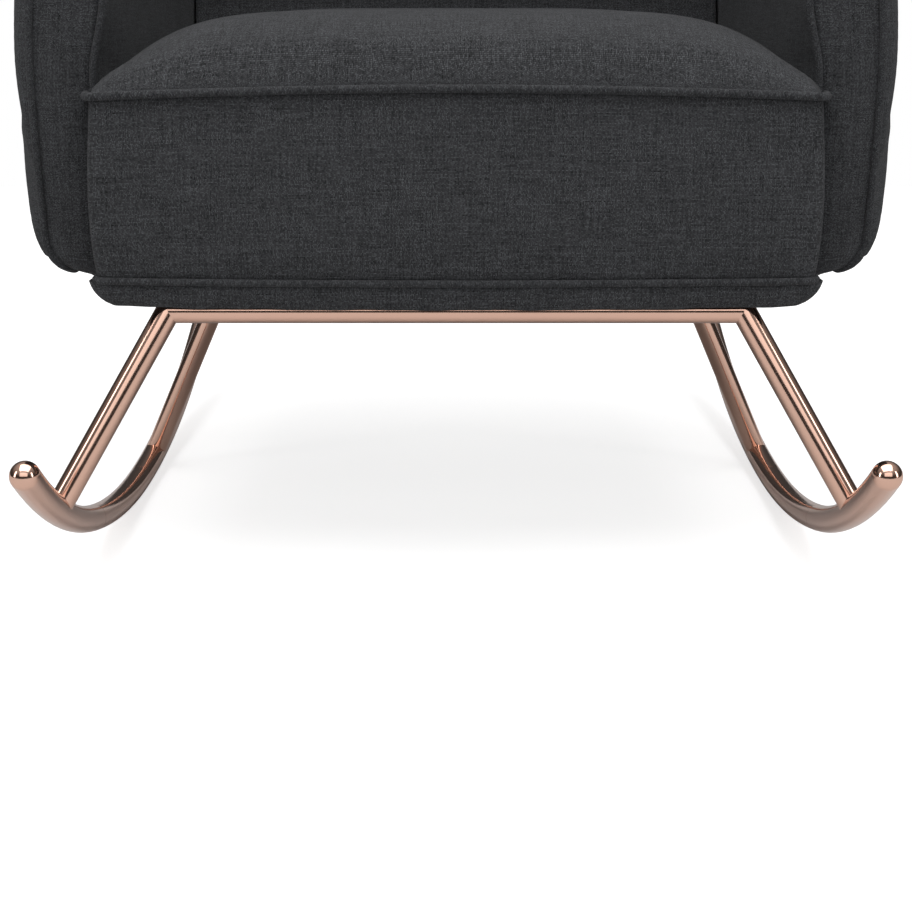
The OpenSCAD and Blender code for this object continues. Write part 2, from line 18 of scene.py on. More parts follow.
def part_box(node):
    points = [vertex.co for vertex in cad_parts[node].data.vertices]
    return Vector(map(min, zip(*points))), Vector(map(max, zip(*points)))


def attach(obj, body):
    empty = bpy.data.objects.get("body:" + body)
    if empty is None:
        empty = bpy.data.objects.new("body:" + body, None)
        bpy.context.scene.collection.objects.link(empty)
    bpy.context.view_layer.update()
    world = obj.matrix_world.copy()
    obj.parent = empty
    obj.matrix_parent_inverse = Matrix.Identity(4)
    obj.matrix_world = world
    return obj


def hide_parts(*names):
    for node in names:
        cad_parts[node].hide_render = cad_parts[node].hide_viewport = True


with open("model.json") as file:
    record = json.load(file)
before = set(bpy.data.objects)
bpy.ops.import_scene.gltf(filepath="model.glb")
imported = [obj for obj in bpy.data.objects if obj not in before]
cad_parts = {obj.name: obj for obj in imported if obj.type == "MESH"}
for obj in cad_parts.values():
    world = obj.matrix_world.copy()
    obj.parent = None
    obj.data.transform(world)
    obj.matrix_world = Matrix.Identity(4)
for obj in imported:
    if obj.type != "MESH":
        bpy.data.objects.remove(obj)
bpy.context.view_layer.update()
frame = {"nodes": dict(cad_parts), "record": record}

MM = 0.001
SIDES = {"left": 1, "right": -1}


# ---------------------------------------------------------------- sizes, read from the frame

def lo(node):
    """The lowest corner of a CAD node."""
    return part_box(node)[0]


def hi(node):
    """The highest corner of a CAD node."""
    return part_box(node)[1]


# radius of a welt
WELT_R = 3.4 * MM

# the seat: half its width in front, its front, and the rear of its two ears, which press into the arms
SEAT_X = hi("seat_boxing")[0]
SEAT_FRONT = lo("seat_boxing")[1]
EAR_Y = hi("seat_boxing")[1] + 3 * MM
# half the clear width between the arms
SEAT_SIDE = hi("inside_back_cover")[0]
# heights of the two seat welts, of the seat's top and of the deck that carries the pad
WELT_Z = (lo("seat_top_welt")[2] + hi("seat_top_welt")[2]) / 2
BASE_Z = (lo("seat_bottom_welt")[2] + hi("seat_bottom_welt")[2]) / 2
SEAT_TOP = hi("seat_crown_cover")[2]
DECK_Z = hi("seat_side_rail_left")[2] + 11 * MM
# the wooden box under the seat
BOX_FRONT = lo("seat_front_rail")[1]
BOX_REAR = hi("seat_rear_rail")[1]
BOX_LOW = lo("seat_front_rail")[2]

# the arms: their inside and outside faces, front, lower edge and top
ARM_IN = lo("inside_cover_left")[0]
ARM_OUT = hi("arm_band_left")[0] + 4 * MM
ARM_FRONT = lo("arm_band_left")[1]
ARM_LOW = lo("arm_band_left")[2]
ARM_TOP = ARM_LOW + 333 * MM
SIDE_BULGE = hi("outside_cover_left")[0] - ARM_OUT
# the wings: their top, and the foot and the slope of their front edge
WING_TOP = hi("arm_band_left")[2]
WING_FOOT = 76 * MM
WING_LEAN = 0.24

# the back: its angle, a point of its inside face in Y and Z, and its thickness
RECLINE = math.radians(12)
BACK_REF = (200 * MM, 500 * MM)
BACK_PAD = 40 * MM
# the outside of the back: its slope and its depth at the lower edge
OUTER_LEAN = math.tan(math.radians(10))
OUTER_Y = 290 * MM

# how far the edge of a hidden face is drawn in before its wide triangles start
LIP = 1.5 * MM


def on_back(v, w):
    """Depth and height along the leaning inside back, as Y and Z."""
    y = BACK_REF[0] + v * math.cos(RECLINE) + w * math.sin(RECLINE)
    z = BACK_REF[1] + w * math.cos(RECLINE) - v * math.sin(RECLINE)
    return y, z


def back_face(z):
    """The depth of the leaning inside back at height z."""
    return BACK_REF[0] + math.tan(RECLINE) * (z - BACK_REF[1])


def outer_back(z):
    """The point of the outside back at height z, as Y and Z."""
    return OUTER_Y + OUTER_LEAN * (z - ARM_LOW), z


# ---------------------------------------------------------------- outlines

def rounded(corners, radii, steps=10):
    """A closed outline, counter-clockwise, with an arc at each corner."""
    corners = [np.array(c, float) for c in corners]
    points = []
    for i, r in enumerate(radii):
        before = corners[i] - corners[i - 1]
        after = corners[(i + 1) % len(corners)] - corners[i]
        before, after = before / np.linalg.norm(before), after / np.linalg.norm(after)
        bend = math.acos(np.clip(before @ after, -1, 1))
        turn = np.sign(before[0] * after[1] - before[1] * after[0])
        start = corners[i] - before * r * math.tan(bend / 2)
        centre = start + turn * r * np.array([-before[1], before[0]])
        first = math.atan2(*(start - centre)[::-1])
        for k in range(steps + 1):
            a = first + turn * bend * k / steps
            points.append(centre + r * np.array([math.cos(a), math.sin(a)]))
    return np.array(points)


def finer(points, spacing, closed=True):
    """The same line with extra points, so that no two are further apart than spacing."""
    ends = np.roll(points, -1, axis=0) if closed else points[1:]
    out = []
    for a, b in zip(points, ends):
        parts = max(1, math.ceil(np.linalg.norm(b - a) / spacing - 1e-6))
        out += [a + (b - a) * k / parts for k in range(parts)]
    if not closed:
        out.append(points[-1])
    return np.array(out)


def inward(loop):
    """The unit inward normal at each point of a counter-clockwise outline."""
    along = np.roll(loop, -1, axis=0) - np.roll(loop, 1, axis=0)
    along /= np.linalg.norm(along, axis=1)[:, None]
    return np.stack([-along[:, 1], along[:, 0]], axis=1)


def inside(points, loop):
    """Which points lie inside a closed outline."""
    a, b = loop, np.roll(loop, -1, axis=0)
    y = points[:, 1][:, None]
    crosses = (a[:, 1] > y) != (b[:, 1] > y)
    rise = np.where(b[:, 1] == a[:, 1], 1e-12, b[:, 1] - a[:, 1])
    x = a[:, 0] + (y - a[:, 1]) * (b[:, 0] - a[:, 0]) / rise
    return (crosses & (points[:, 0][:, None] < x)).sum(axis=1) % 2 == 1


def edge_distance(points, loop):
    """How far each point is from a closed outline."""
    a, way = loop, np.roll(loop, -1, axis=0) - loop
    long = (way ** 2).sum(axis=1) + 1e-18
    gap = points[:, None, :] - a[None]
    t = np.clip((gap * way[None]).sum(axis=2) / long, 0, 1)
    return np.linalg.norm(gap - t[..., None] * way[None], axis=2).min(axis=1)


def across(loop, spacing):
    """Inner points of a closed outline on a grid, and triangles over the outline's points and then these."""
    low, high = loop.min(axis=0), loop.max(axis=0)
    xs = np.arange(low[0] + spacing / 2, high[0], spacing)
    ys = np.arange(low[1] + spacing / 2, high[1], spacing)
    grid = np.stack(np.meshgrid(xs, ys, indexing="ij"), axis=-1).reshape(-1, 2)
    grid = grid[inside(grid, loop)]
    grid = grid[edge_distance(grid, loop) > 0.6 * spacing]
    points = np.vstack([loop, grid])
    rim = [(i, (i + 1) % len(loop)) for i in range(len(loop))]
    made = delaunay_2d_cdt([Vector(p) for p in points], rim, [], 1, 1e-8)
    source = [s[0] if s else None for s in made[3]]
    faces = [[source[i] for i in face] for face in made[2]]
    return grid, [face for face in faces if None not in face]


def smooth(t):
    """0 below 0 and 1 above 1, with a smooth rise between."""
    t = np.clip(t, 0, 1)
    return t * t * (3 - 2 * t)


# ---------------------------------------------------------------- meshes

class Build:
    """Collects points and faces with their cloth coordinates, and makes a mesh object of them."""

    def __init__(self):
        self.points, self.faces, self.cloth, self.count = [], [], [], 0

    def add(self, points):
        first = self.count
        self.points.append(np.asarray(points, float))
        self.count += len(points)
        return first

    def face(self, corners, cloth):
        self.faces.append(tuple(int(c) for c in corners))
        self.cloth.extend(cloth)

    def xyz(self):
        return np.vstack(self.points)

    def make(self, name, xyz=None):
        mesh = bpy.data.meshes.new(name)
        xyz = self.xyz() if xyz is None else xyz
        mesh.from_pydata([tuple(p) for p in xyz], [], self.faces)
        layer = mesh.uv_layers.new(name="cloth")
        layer.data.foreach_set("uv", np.asarray(self.cloth, np.float32).ravel())
        piece = bpy.data.objects.new(name, mesh)
        bpy.context.scene.collection.objects.link(piece)
        outward(mesh)
        mesh.shade_smooth()
        return piece


def outward(mesh):
    """Turns the faces of a closed mesh outward."""
    bm = bmesh.new()
    bm.from_mesh(mesh)
    bmesh.ops.recalc_face_normals(bm, faces=bm.faces)
    bm.to_mesh(mesh)
    bm.free()


def rings(build, loops, closed=True, turned=0.0):
    """Joins equal rings of 3-D points with quads, and returns the first point's number in each ring."""
    firsts = [build.add(ring) for ring in loops]
    size = len(loops[0])
    ends = np.roll(loops[0], -1, axis=0) - loops[0]
    along = np.concatenate([[0], np.cumsum(np.linalg.norm(ends, axis=1))])
    up = 0.0
    c, s = math.cos(turned), math.sin(turned)
    for k in range(len(loops) - 1):
        step = float(np.linalg.norm(loops[k + 1] - loops[k], axis=1).mean())
        for i in range(size if closed else size - 1):
            j = (i + 1) % size
            corners = [firsts[k] + i, firsts[k] + j, firsts[k + 1] + j, firsts[k + 1] + i]
            flat = [(along[i], up), (along[i + 1], up), (along[i + 1], up + step), (along[i], up + step)]
            build.face(corners, [(u * c - v * s, u * s + v * c) for u, v in flat])
        up += step
    return firsts


def pad(name, loop, band, low, high, place, spacing, shape=None, hidden=None):
    """A closed padded form.

    loop is its outline. band lists its rings from the low face to the high one, each an inset, a height and
    whether it is a seam; an inset may be a list with one value for each point. low and high give the heights
    of the two faces from their points and their distance to the outline. place turns points of the outline
    and their heights into X, Y and Z. shape moves the finished points. hidden says, for the low and the high
    face, whether it is never seen and gets wide triangles.
    """
    build = Build()
    normals = inward(loop)
    wide = hidden or (False, False)
    if wide[0]:
        band = [(band[0][0] + LIP, band[0][1], False)] + band
    if wide[1]:
        band = band + [(band[-1][0] + LIP, band[-1][1], False)]
    flats = [loop + normals * np.reshape(inset, (-1, 1)) for inset, _, _ in band]
    heights = [np.broadcast_to(height, len(loop)) for _, height, _ in band]
    firsts = rings(build, [place(f, h) for f, h in zip(flats, heights)])
    for end, face_height in ((0, low), (-1, high)):
        rim = flats[end]
        grid, faces = across(rim, spacing * (3 if wide[end] else 1))
        start = build.add(place(grid, face_height(grid, edge_distance(grid, rim))))
        flat = np.vstack([rim, grid])
        number = np.concatenate([firsts[end] + np.arange(len(rim)), start + np.arange(len(grid))])
        for face in faces:
            build.face(number[face], [tuple(flat[i]) for i in face])
    xyz = build.xyz()
    piece = build.make(name, xyz if shape is None else shape(xyz))
    held = piece.vertex_groups.new(name="seams")
    for first, (_, _, seam) in zip(firsts, band):
        if seam:
            held.add(range(first, first + len(loop)), 1.0, "REPLACE")
    return piece


def tube(name, path, radius, closed=False, sides=14, turned=math.radians(45)):
    """A cord of cloth along a path of close points, with its weave on the bias."""
    path = np.asarray(path, float)
    if closed:
        along = np.roll(path, -1, axis=0) - np.roll(path, 1, axis=0)
    else:
        along = np.gradient(path, axis=0)
    along /= np.linalg.norm(along, axis=1)[:, None]
    normal = np.cross(along[0], [0.3, 0.2, 1.0])
    sections = []
    for i, way in enumerate(along):
        normal = normal - way * (normal @ way)
        normal /= np.linalg.norm(normal)
        other = np.cross(way, normal)
        a = np.arange(sides) * 2 * math.pi / sides
        r = radius * (1 + 0.03 * math.sin(i * 1.7) * math.sin(i * 0.37))
        if not closed:
            r *= 1 - 0.5 * math.exp(-0.6 * min(i, len(along) - 1 - i))
        sections.append(path[i] + r * (np.cos(a)[:, None] * normal + np.sin(a)[:, None] * other))
    if closed:
        sections.append(closing(sections, sides))
    build = Build()
    firsts = rings(build, sections, turned=turned)
    if not closed:
        for first, end, way in ((firsts[0], 0, -1), (firsts[-1], -1, 1)):
            centre = build.add([path[end] + way * along[end] * radius * 0.6])
            for k in range(sides):
                build.face([first + k, first + (k + 1) % sides, centre], [(0, 0), (radius, 0), (0, radius)])
    piece = build.make(name)
    if closed:
        weld(piece.data)
    return piece


def closing(sections, sides):
    """The first section again, turned to start at the point nearest to the last section's first."""
    turns = [np.roll(sections[0], -k, axis=0) for k in range(sides)]
    gaps = [np.linalg.norm(turn - sections[-1], axis=1).sum() for turn in turns]
    return turns[int(np.argmin(gaps))]


def weld(mesh):
    """Joins points that lie in one place."""
    bm = bmesh.new()
    bm.from_mesh(mesh)
    bmesh.ops.remove_doubles(bm, verts=bm.verts, dist=1e-6)
    bmesh.ops.recalc_face_normals(bm, faces=bm.faces)
    bm.to_mesh(mesh)
    bm.free()


def thickened(piece, thickness):
    """Gives a sheet its thickness, behind its faces."""
    solid = piece.modifiers.new("thickness", "SOLIDIFY")
    solid.thickness = thickness
    solid.offset = -1
    return piece


def softened(piece, levels=1):
    """Rounds a piece with a subdivision surface."""
    surface = piece.modifiers.new("smooth", "SUBSURF")
    surface.levels = levels
    surface.render_levels = levels
    return piece


def coordinates(mesh):
    """The mesh's points, one row each."""
    xyz = np.empty(len(mesh.vertices) * 3)
    mesh.vertices.foreach_get("co", xyz)
    return xyz.reshape(-1, 3)


FILL_FRAMES = 20
PRESSURE = 3.0


def cloth_over(piece, pressure):
    """Gives a pad the Cloth modifier: upholstery cloth under pressure, held at its seams."""
    cloth = piece.modifiers.new("cloth", "CLOTH")
    settings = cloth.settings
    settings.quality = 4
    settings.mass = 0.25
    settings.tension_stiffness = 40
    settings.compression_stiffness = 12
    settings.shear_stiffness = 12
    settings.bending_stiffness = 0.8
    settings.use_pressure = True
    settings.uniform_pressure_force = pressure
    settings.effector_weights.gravity = 0
    settings.vertex_group_mass = "seams"
    cloth.collision_settings.use_collision = False
    cloth.collision_settings.use_self_collision = False
    cloth.point_cache.frame_start = 1
    cloth.point_cache.frame_end = FILL_FRAMES


def fill_with_air(pads):
    """Runs Cloth with pressure on each (piece, pressure, limit) and keeps the result.

    The seams are held, gravity is off, and no point moves further than its limit, a function of the points.
    """
    for piece, pressure, _ in pads:
        cloth_over(piece, pressure)
    scene = bpy.context.scene
    for step in range(1, FILL_FRAMES + 1):
        scene.frame_set(step)
    graph = bpy.context.evaluated_depsgraph_get()
    moved = [coordinates(piece.evaluated_get(graph).data) for piece, _, _ in pads]
    for (piece, _, limit), after in zip(pads, moved):
        before = coordinates(piece.data)
        shift = after - before
        far = np.linalg.norm(shift, axis=1) + 1e-12
        most = limit(before)
        shift *= (most * np.tanh(far / np.maximum(most, 1e-9)) / far)[:, None]
        piece.modifiers.remove(piece.modifiers["cloth"])
        piece.data.vertices.foreach_set("co", (before + shift).ravel())
        piece.data.update()
    scene.frame_set(1)


# ---------------------------------------------------------------- materials

class Nodes:
    """A short way to write a node tree."""

    def __init__(self, name):
        self.material = bpy.data.materials.new(name)
        self.material.use_nodes = True
        self.tree = self.material.node_tree
        self.tree.nodes.clear()

    def node(self, kind, inputs=None, **settings):
        made = self.tree.nodes.new(kind)
        for key, value in settings.items():
            setattr(made, key, value)
        for key, value in (inputs or {}).items():
            if isinstance(value, bpy.types.NodeSocket):
                self.tree.links.new(value, made.inputs[key])
            else:
                made.inputs[key].default_value = value
        return made

    def math(self, operation, a, b=0.0, c=0.0):
        return self.node("ShaderNodeMath", {0: a, 1: b, 2: c}, operation=operation).outputs[0]

    def point(self, x, y, z=0.0):
        return self.node("ShaderNodeCombineXYZ", {0: x, 1: y, 2: z}).outputs[0]

    def scaled(self, vector, factors):
        """A vector with each of its parts times a constant."""
        return self.node("ShaderNodeVectorMath", {0: vector, 1: factors}, operation="MULTIPLY").outputs[0]

    def split(self, vector):
        return self.node("ShaderNodeSeparateXYZ", {0: vector}).outputs

    def noise(self, vector, scale, detail=2.0, roughness=0.5):
        inputs = {"Vector": vector, "Scale": scale, "Detail": detail, "Roughness": roughness}
        return self.node("ShaderNodeTexNoise", inputs).outputs[0]

    def ramp(self, factor, stops):
        made = self.node("ShaderNodeValToRGB", {0: factor})
        elements = made.color_ramp.elements
        while len(elements) < len(stops):
            elements.new(0.5)
        for element, (place, colour) in zip(elements, stops):
            element.position = place
            element.color = (*colour, 1.0)
        return made.outputs[0]

    def tint(self, colour, factor):
        """A constant colour times a changing factor."""
        made = self.node("ShaderNodeVectorMath", {0: colour, "Scale": factor}, operation="SCALE")
        return made.outputs[0]

    def bump(self, height, strength, distance):
        inputs = {"Height": height, "Strength": strength, "Distance": distance}
        return self.node("ShaderNodeBump", inputs).outputs[0]

    def finish(self, **inputs):
        """The shader and the output; constants go straight onto the shader's sockets."""
        shader = self.node("ShaderNodeBsdfPrincipled", {k.replace("_", " "): v for k, v in inputs.items()})
        self.node("ShaderNodeOutputMaterial", {0: shader.outputs[0]})
        return self.material


THREAD = 0.85 * MM


def weave(name, colour, slub=1.0, depth=0.35 * MM):
    """A twill of uneven threads: each thread has its own tone, which changes along its length; painted shade
    darkens the colour in the grooves between the thread crests.
    """
    n = Nodes(name)
    flat = n.node("ShaderNodeUVMap", uv_map="cloth").outputs[0]
    wander = n.math("MULTIPLY", n.noise(flat, 26.0, 2.0), 2.0)
    u, v, _ = n.split(flat)
    u = n.math("ADD", wander, n.math("DIVIDE", u, THREAD))
    v = n.math("ADD", wander, n.math("DIVIDE", v, THREAD))
    warp, weft = n.math("FLOOR", u), n.math("FLOOR", v)
    warp_run = n.point(n.math("MULTIPLY", warp, 3.71), n.math("MULTIPLY", v, 0.030))
    weft_run = n.point(n.math("MULTIPLY", u, 0.022), n.math("MULTIPLY", weft, 3.71), 7.0)
    warp_tone, weft_tone = n.noise(warp_run, 1.0, 3.0, 0.7), n.noise(weft_run, 1.0, 3.0, 0.7)
    over = n.math("MULTIPLY", n.math("PINGPONG", n.math("ADD", warp, weft), 2.0), 0.5)
    across_warp = n.math("ABSOLUTE", n.math("SINE", n.math("MULTIPLY", u, math.pi)))
    across_weft = n.math("ABSOLUTE", n.math("SINE", n.math("MULTIPLY", v, math.pi)))
    tone = n.node("ShaderNodeMix", {"Factor": over, "A": warp_tone, "B": weft_tone}).outputs[0]
    crest = n.node("ShaderNodeMix", {"Factor": over, "A": across_warp, "B": across_weft}).outputs[0]
    knot = n.node("ShaderNodeTexWhiteNoise", {0: n.point(warp, weft)}, noise_dimensions="2D").outputs[0]
    height = n.math("MULTIPLY", crest, n.math("MULTIPLY_ADD", tone, 0.8, 0.5))
    lift = n.math("MULTIPLY_ADD", n.math("SUBTRACT", tone, 0.5), 2.9 * slub, 0.66)
    lift = n.math("MULTIPLY_ADD", n.math("POWER", knot, 2.6), 0.95, lift)
    # painted shade: the colour darkens towards the grooves between the thread crests
    groove_shade = n.math("MULTIPLY_ADD", crest, 1.35, 0.12)
    patch = n.math("MULTIPLY_ADD", n.noise(flat, 12.0, 3.0), 0.16, 0.92)
    factor = n.math("MULTIPLY", n.math("MULTIPLY", n.math("MAXIMUM", lift, 0.12), groove_shade), patch)
    return n.finish(Base_Color=n.tint(colour, factor), Roughness=0.95, Specular_IOR_Level=0.15,
                    Sheen_Weight=0.03, Sheen_Roughness=0.6, Normal=n.bump(height, 0.6, depth))


def plated(name, colour, roughness):
    """Polished plating with a faint ripple, a slight haze and small changes of tone."""
    n = Nodes(name)
    place = n.node("ShaderNodeTexCoord").outputs["Object"]
    haze = n.noise(place, 18.0, 4.0)
    fine = n.noise(place, 420.0, 2.0)
    rough = n.math("MULTIPLY_ADD", haze, 0.05, roughness - 0.02)
    colour_now = n.tint(colour, n.math("MULTIPLY_ADD", haze, 0.10, 0.95))
    return n.finish(Base_Color=colour_now, Metallic=1.0, Roughness=n.math("MULTIPLY_ADD", fine, 0.03, rough),
                    Normal=n.bump(n.noise(place, 60.0, 2.0), 0.02, 0.4 * MM))


def timber(name):
    """Planed beech: long grain, short flecks and a satin surface."""
    n = Nodes(name)
    place = n.node("ShaderNodeTexCoord").outputs["Object"]
    grain = n.noise(n.scaled(place, (3.0, 55.0, 55.0)), 1.0, 5.0, 0.6)
    fleck = n.noise(n.scaled(place, (60.0, 420.0, 420.0)), 1.0, 2.0)
    mixed = n.math("MULTIPLY_ADD", fleck, 0.25, n.math("MULTIPLY", grain, 0.75))
    tone = n.ramp(mixed, [(0.30, (0.40, 0.26, 0.14)), (0.50, (0.60, 0.43, 0.26)), (0.72, (0.72, 0.56, 0.37))])
    return n.finish(Base_Color=tone, Roughness=0.62, Normal=n.bump(mixed, 0.2, 0.3 * MM))


def zinc(name):
    """Zinc-plated steel with a soft spangle."""
    n = Nodes(name)
    place = n.node("ShaderNodeTexCoord").outputs["Object"]
    spangle = n.noise(place, 130.0, 3.0)
    tone = n.tint((0.60, 0.61, 0.63), n.math("MULTIPLY_ADD", spangle, 0.35, 0.80))
    return n.finish(Base_Color=tone, Metallic=1.0, Roughness=n.math("MULTIPLY_ADD", spangle, 0.25, 0.25))


def black_felt(name):
    """Thin non-woven cloth with pressed dimples and loose fibres."""
    n = Nodes(name)
    place = n.node("ShaderNodeTexCoord").outputs["Object"]
    dimples = n.node("ShaderNodeTexVoronoi", {"Vector": place, "Scale": 420.0}).outputs["Distance"]
    fibres = n.noise(place, 900.0, 3.0, 0.7)
    height = n.math("MULTIPLY_ADD", fibres, 0.5, dimples)
    tone = n.tint((0.018, 0.018, 0.020), n.math("MULTIPLY_ADD", fibres, 1.2, 0.5))
    return n.finish(Base_Color=tone, Roughness=0.95, Sheen_Weight=0.1, Normal=n.bump(height, 0.4, 0.3 * MM))


def studio_white(name):
    """A pale matt acrylic sheet, which glows softly where it is looked at directly."""
    n = Nodes(name)
    place = n.node("ShaderNodeTexCoord").outputs["Object"]
    tone = n.tint((0.66, 0.66, 0.66), n.math("MULTIPLY_ADD", n.noise(place, 3.0), 0.01, 0.995))
    seen = n.node("ShaderNodeLightPath").outputs["Is Camera Ray"]
    return n.finish(Base_Color=tone, Roughness=0.8, Specular_IOR_Level=0.1, Emission_Color=(1, 1, 1, 1),
                    Emission_Strength=n.math("MULTIPLY", seen, 0.73))


CHARCOAL = (0.0400, 0.0412, 0.0442)
FABRIC = weave("charcoal_weave", CHARCOAL)
WELTING = weave("charcoal_welt", tuple(c * 0.92 for c in CHARCOAL), slub=0.8)
ROSE_GOLD = plated("rose_gold_plate", (0.72, 0.46, 0.36), 0.10)
WOOD = timber("frame_timber")
ZINC = zinc("zinc_steel")
BLACK = black_felt("black_cloth")


def dress(piece, material):
    """Gives a piece its material and lets it ride on the one body."""
    piece.data.materials.clear()
    piece.data.materials.append(material)
    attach(piece, "root")
    return piece


def welt(name, path, radius, node, closed=False):
    """A cord covered with the chair's cloth, in place of its CAD node."""
    made = tube(name, path, radius, closed=closed)
    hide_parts(node)
    return dress(made, WELTING)


def finish_cad_nodes():
    """The metal, wood and steel nodes keep their shape and get their material."""
    finishes = {"rose_gold_plate": ROSE_GOLD, "zinc_steel": ZINC, "frame_timber": WOOD, "black_cloth": BLACK}
    for row in frame["record"]["subparts"]:
        made = finishes.get(row["material_slot"])
        if made is not None:
            node = frame["nodes"][row["node"]]
            for place in node.material_slots:
                place.material = made


# ---------------------------------------------------------------- seat

# how far behind the front the crown reaches its full height
CROWN_DEPTH = 150 * MM
# how far the boxing swells, and how far its two seams lie behind the welts
BOX_PILLOW = 6 * MM
SEAM_INSET = 3.6 * MM
RIM_INSET = 3.8 * MM
# the rise of the top welt and of its ends, and the fall of the bottom welt
WELT_ARCH = 7.0 * MM
SEAM_DROP = 3.0 * MM
WELT_HANG = 2.5 * MM
# how far the ears spread, and where from
EAR_REACH = 7.0 * MM
EAR_FROM = 270 * MM


def arch(x):
    """How far the seat's top welt stands above its CAD height: it rises from the corners to the middle."""
    return WELT_ARCH * (1 - np.clip(x / SEAT_X, -1, 1) ** 2) - SEAM_DROP


def hang(x):
    """How far the seat's bottom welt hangs towards its middle."""
    return WELT_HANG * (1 - np.clip(x / SEAT_X, -1, 1) ** 2)


def seat_outline():
    """The seat from above: wide in front of the arms, narrower between them."""
    rear = BACK_REF[0] + 2 * MM
    corners = [(-SEAT_X, SEAT_FRONT), (SEAT_X, SEAT_FRONT), (SEAT_X, EAR_Y), (SEAT_SIDE, EAR_Y),
               (SEAT_SIDE, rear), (-SEAT_SIDE, rear), (-SEAT_SIDE, EAR_Y), (-SEAT_X, EAR_Y)]
    front_corner, other_corner = 12 * MM, 2 * MM
    return finer(rounded(corners, [front_corner] * 2 + [other_corner] * 6, 5), 9 * MM)


def crown(points, _distance=None):
    """The height of the seat's top: a soft dome that falls to the seam at the front and the sides."""
    u = np.clip(np.abs(points[:, 0]) / SEAT_X, 0, 1)
    v = np.clip((points[:, 1] - SEAT_FRONT) / CROWN_DEPTH, 0, 1)
    sides = (1 - u ** 6) ** 0.95
    front = (1 - (1 - v) ** 2.6) ** 0.50
    return WELT_Z + arch(points[:, 0]) * (1 - v) + (SEAT_TOP - WELT_Z) * sides * front


def seat_underside(points, _distance=None):
    """The height of the seat's underside: the deck, and the lower front edge before the box."""
    before_box = (points[:, 1] < BOX_FRONT - 2 * MM) | (np.abs(points[:, 0]) > SEAT_SIDE + 1 * MM)
    return np.where(before_box, BASE_Z - hang(points[:, 0]), DECK_Z)


def ear_flare(xyz):
    """How far the top corners of the seat spread over the fronts of the arms."""
    back = smooth((xyz[:, 1] - SEAT_FRONT) / (EAR_Y - SEAT_FRONT)) * (xyz[:, 1] < EAR_Y + 1 * MM)
    high = smooth((xyz[:, 2] - WELT_Z + 26 * MM) / (22 * MM))
    return EAR_REACH * back * high * smooth((np.abs(xyz[:, 0]) - EAR_FROM) / (40 * MM))


def seat_place(flat, height):
    """Points of the seat in the room; the rear edge leans with the back, the top corners flare out."""
    xyz = np.column_stack([flat, height])
    xyz[:, 0] += np.sign(xyz[:, 0]) * ear_flare(xyz)
    rear = smooth((xyz[:, 1] - 50 * MM) / (150 * MM))
    xyz[:, 1] += rear * math.tan(RECLINE) * (xyz[:, 2] - BACK_REF[1])
    return xyz


def seat_pad():
    """The seat: a crowned top over a front boxing that swells between its two welts."""
    loop = seat_outline()
    front = loop[:, 1] < EAR_Y - 1 * MM
    between = ~front & (np.abs(loop[:, 0]) < SEAT_SIDE + 1 * MM)
    bottom = np.where(between, DECK_Z, BASE_Z - hang(loop[:, 0]))
    seam = WELT_Z + np.where(front, arch(loop[:, 0]), 0)
    band = []
    steps = 20
    for k in range(steps + 1):
        t = k / steps
        swell = math.sin(math.pi * t) ** 0.7 * BOX_PILLOW * (1.25 - 0.5 * t)
        inset = np.where(front, SEAM_INSET - swell, 0.5 * MM)
        band.append((inset, bottom + (seam - bottom) * t, k in (0, steps)))
    rim = np.where(front, seam + 1.5 * MM, np.maximum(crown(loop), seam + 1.5 * MM))
    band.append((np.where(front, RIM_INSET, 1.0 * MM), rim, True))
    return pad("seat_pad", loop, band, seat_underside, crown, seat_place, 10 * MM, hidden=(True, False))


def seat_limit(xyz):
    """The top and the front may swell; what touches the arms, the back or the box may not."""
    x, y, z = np.abs(xyz[:, 0]), xyz[:, 1], xyz[:, 2]
    top = smooth((z - WELT_Z - 4 * MM) / (20 * MM)) * smooth((SEAT_SIDE - x) / (40 * MM))
    face = (y < EAR_Y - 2 * MM) & (z > BASE_Z + 6 * MM) & (z < WELT_Z + 1 * MM)
    return 0.2 * MM + top * 5 * MM + face * 5 * MM


def seat_seam(z, out):
    """The line of a seat welt: round the front, with its ends tucked in behind the arms."""
    corner = 14 * MM
    x, y = SEAT_X + out, SEAT_FRONT - out
    half = [(x - 4 * MM, EAR_Y + 9 * MM), (x, EAR_Y + 0.5 * MM), (x, y + corner + 4 * MM)]
    arc = [(x - corner + corner * math.cos(a), y + corner - corner * math.sin(a))
           for a in np.radians(np.arange(0, 91, 10))]
    right = np.array(half + arc)
    left = right[::-1] * [-1, 1]
    line = finer(np.vstack([right, left]), 6 * MM, closed=False)
    line = np.column_stack([line, np.full(len(line), z)])
    line[:, 0] += np.sign(line[:, 0]) * ear_flare(line)
    return line


def seat_welts():
    """The two self-fabric welts of the seat."""
    top = seat_seam(WELT_Z, 0.2 * MM)
    top[:, 2] += arch(top[:, 0])
    welt("seat_top_welt_cord", top, WELT_R * 1.05, "seat_top_welt")
    low = seat_seam(BASE_Z + 0.6 * MM, -0.8 * MM)
    low[:, 2] -= hang(low[:, 0])
    welt("seat_bottom_welt_cord", low, WELT_R * 0.95, "seat_bottom_welt")


